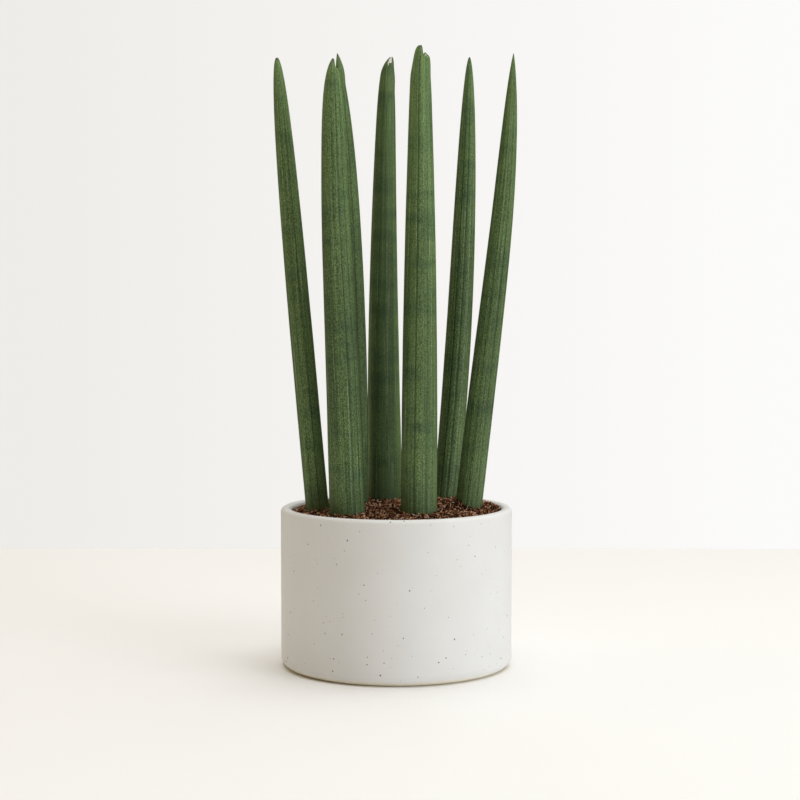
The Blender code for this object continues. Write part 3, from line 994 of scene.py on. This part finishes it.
def glaze():
    """Matte off-white glaze with iron specks, and bare clay at the foot."""
    make = Nodes("matte_glaze")
    where = make.object_coordinates()
    cloudy = make.noise(where, 26.0, 3.0, 0.55)
    colour = make.blend(make.spread(cloudy, 0.35, 0.70), GLAZE_SHADE, GLAZE)
    for cells, radius, dark in SPECKS:
        dots = make.add("ShaderNodeTexVoronoi", feature="F1")
        dots.inputs["Scale"].default_value = cells
        make.link(where, dots.inputs["Vector"])
        uneven = make.spread(make.noise(where, 1800.0), 0.3, 0.7, -SPECK_UNEVEN, SPECK_UNEVEN)
        ragged = make.math("ADD", dots.outputs["Distance"], uneven)
        spot = make.spread(ragged, radius, SPECK_CORE * radius)
        tint = make.add("ShaderNodeSeparateColor")
        make.link(dots.outputs["Color"], tint.inputs["Color"])
        strength = make.spread(tint.outputs["Red"], 0.0, 1.0, *SPECK_STRENGTH)
        colour = make.blend(make.math("MULTIPLY", spot, strength), colour, dark)
    height = make.add("ShaderNodeSeparateXYZ")
    make.link(where, height.inputs["Vector"])
    line = make.math("ADD", height.outputs["Z"], make.spread(cloudy, 0.3, 0.7, -BARE_UNEVEN, BARE_UNEVEN))
    bare = make.spread(line, BARE_HEIGHT + BARE_FADE[0], BARE_HEIGHT + BARE_FADE[1])
    clay = make.noise(where, 700.0, 4.0, 0.60)
    colour = make.blend(bare, colour, make.blend(clay, BARE_CLAY, BARE_CLAY_LIGHT))
    satin = make.noise(where, 320.0, 3.0, 0.55)
    rough = make.spread(satin, 0.30, 0.70, *GLAZE_ROUGHNESS)
    rough = make.math("ADD", rough, make.math("MULTIPLY", bare, BARE_ROUGHER))
    normal = make.bump(make.noise(where, 1500.0, 2.0, 0.50), 0.10, 0.00010)
    normal = make.bump(make.noise(where, 180.0, 3.0, 0.50), 0.10, 0.00025, normal)
    make.shader.inputs["Specular IOR Level"].default_value = GLAZE_SPECULAR
    return make.finish(colour, rough, normal)


# Finish of the bed and of each kind of chip: name, dark tone, light tone and scale of the patches
BED_FINISH = ("mix_bed", (0.005, 0.0018, 0.0007), (0.018, 0.006, 0.003), 260.0)
CHIP_FINISHES = {
    "mix_chips_dark": ("mix_dark", (0.018, 0.006, 0.002), (0.060, 0.021, 0.008), 420.0),
    "mix_chips_red": ("mix_red", (0.165, 0.058, 0.021), (0.385, 0.157, 0.070), 420.0),
    "mix_chips_tan": ("mix_tan", (0.520, 0.270, 0.150), (0.820, 0.560, 0.400), 420.0),
}
MIX_ROUGHNESS = (0.72, 0.95)
MIX_SPECULAR = 0.12
GRAIN_DARKER = 0.45


def mix_finish(name, dark, light, scale):
    """Damp bark and fibre: two tones in patches with a coarse grain."""
    make = Nodes(name)
    where = make.object_coordinates()
    patches = make.noise(where, scale, 3.0, 0.60)
    grain = make.noise(where, 2600.0, 3.0, 0.60)
    colour = make.blend(make.spread(patches, 0.32, 0.68), dark, light)
    darker = tuple(GRAIN_DARKER * part for part in dark)
    colour = make.blend(make.spread(grain, 0.35, 0.70, 0.0, 0.45), colour, darker)
    rough = make.spread(grain, 0.30, 0.70, *MIX_ROUGHNESS)
    normal = make.bump(grain, 0.5, 0.0002)
    make.shader.inputs["Specular IOR Level"].default_value = MIX_SPECULAR
    return make.finish(colour, rough, normal)


# Stage


TABLE_COLOUR = (0.930, 0.922, 0.918)
TABLE_SHADE = 0.995
TABLE_ROUGHNESS = (0.60, 0.65)
TABLE_SPECULAR = 0.25


def table_finish():
    """A plain painted surface with a barely visible grain."""
    make = Nodes("table_top")
    where = make.object_coordinates()
    cloud = make.noise(where, 3.0, 2.0, 0.5)
    shade = tuple(part * TABLE_SHADE for part in TABLE_COLOUR)
    colour = make.blend(make.spread(cloud, 0.3, 0.7), TABLE_COLOUR, shade)
    rough = make.spread(cloud, 0.3, 0.7, *TABLE_ROUGHNESS)
    normal = make.bump(make.noise(where, 900.0, 2.0, 0.5), 0.02, 0.0001)
    make.shader.inputs["Specular IOR Level"].default_value = TABLE_SPECULAR
    return make.finish(colour, rough, normal)


def make_table():
    bpy.ops.mesh.primitive_cube_add(size=1.0)
    table = bpy.context.object
    table.name = "table"
    table.scale = (2.0 * TABLE_HALF_WIDTH, TABLE_DEPTH, TABLE_THICKNESS)
    table.location = (0.0, TABLE_BACK_EDGE - 0.5 * TABLE_DEPTH, -0.5 * TABLE_THICKNESS)
    table.data.materials.append(table_finish())


def area_light(name, place, size, power, colour):
    """A soft lamp that the camera doesn't see, aimed at the pot."""
    light = bpy.data.lights.new(name, "AREA")
    light.shape = "RECTANGLE"
    light.size, light.size_y = size
    light.energy = power
    light.color = colour
    lamp = bpy.data.objects.new(name, light)
    lamp.location = place
    lamp.visible_camera = False
    lamp.rotation_euler = (Vector(LIGHTS_AIM) - Vector(place)).to_track_quat("-Z", "Y").to_euler()
    bpy.context.scene.collection.objects.link(lamp)


# The wall behind, which is only seen, darker towards the left as painted shade, and the dim room light
WALL_LEFT = (0.860, 0.842, 0.810)
WALL_RIGHT = (0.972, 0.968, 0.962)
WALL_SPREAD = 0.20
ROOM_LIGHT = (0.172, 0.128, 0.058)
# Lamps: place, size, power and colour, all aimed at one point
LIGHTS = {
    "key": ((1.68, -1.22, 0.66), (1.3, 1.3), 21.5, (0.870, 0.945, 1.0)),
    "top": ((0.24, 0.30, 2.40), (2.8, 2.8), 70.0, (0.965, 0.985, 1.0)),
    "fill": ((-1.90, 0.40, 0.60), (1.6, 1.6), 3.5, (1.0, 0.86, 0.62)),
}
LIGHTS_AIM = (0.0, 0.0, 0.12)


def make_light():
    """A low soft key from the right, a broad top light, a weak fill behind, and a dim warm room."""
    for name, (place, size, power, colour) in LIGHTS.items():
        area_light(name, place, size, power, colour)
    world = bpy.data.worlds.new("room")
    bpy.context.scene.world = world
    world.use_nodes = True
    nodes, links = world.node_tree.nodes, world.node_tree.links
    seen = nodes["Background"]
    direction = nodes.new("ShaderNodeTexCoord")
    parts = nodes.new("ShaderNodeSeparateXYZ")
    share = nodes.new("ShaderNodeMapRange")
    share.inputs["From Min"].default_value = -WALL_SPREAD
    share.inputs["From Max"].default_value = WALL_SPREAD
    # The seen wall runs from darker at the left to lighter at the right: painted shade on the backdrop
    wall = nodes.new("ShaderNodeMix")
    wall.data_type = "RGBA"
    wall.inputs[6].default_value = (*WALL_LEFT, 1.0)
    wall.inputs[7].default_value = (*WALL_RIGHT, 1.0)
    lit = nodes.new("ShaderNodeBackground")
    lit.inputs["Color"].default_value = (*ROOM_LIGHT, 1.0)
    choose = nodes.new("ShaderNodeMixShader")
    path = nodes.new("ShaderNodeLightPath")
    links.new(direction.outputs["Generated"], parts.inputs["Vector"])
    links.new(parts.outputs["X"], share.inputs["Value"])
    links.new(share.outputs["Result"], wall.inputs["Factor"])
    links.new(wall.outputs[2], seen.inputs["Color"])
    links.new(path.outputs["Is Camera Ray"], choose.inputs["Fac"])
    links.new(lit.outputs["Background"], choose.inputs[1])
    links.new(seen.outputs["Background"], choose.inputs[2])
    links.new(choose.outputs["Shader"], nodes["World Output"].inputs["Surface"])
    bpy.context.scene.view_settings.view_transform = "Standard"


def make_camera():
    data = bpy.data.cameras.new("camera")
    data.sensor_width = SENSOR_WIDTH
    data.lens = CAMERA_LENS
    camera = bpy.data.objects.new("camera", data)
    camera.location = (CAMERA_SIDE, -CAMERA_DISTANCE, CAMERA_HEIGHT)
    camera.rotation_euler = (math.radians(90.0 - CAMERA_PITCH), 0.0, 0.0)
    bpy.context.scene.collection.objects.link(camera)
    bpy.context.scene.camera = camera


def build():
    make_camera()
    make_light()
    make_table()
    make_pot(glaze())
    skin = leaf_skin()
    for name in LEAVES:
        make_leaf(name, skin)
    make_bed(mix_finish(*BED_FINISH))
    make_chips({kind: mix_finish(*settings) for kind, settings in CHIP_FINISHES.items()})


build()
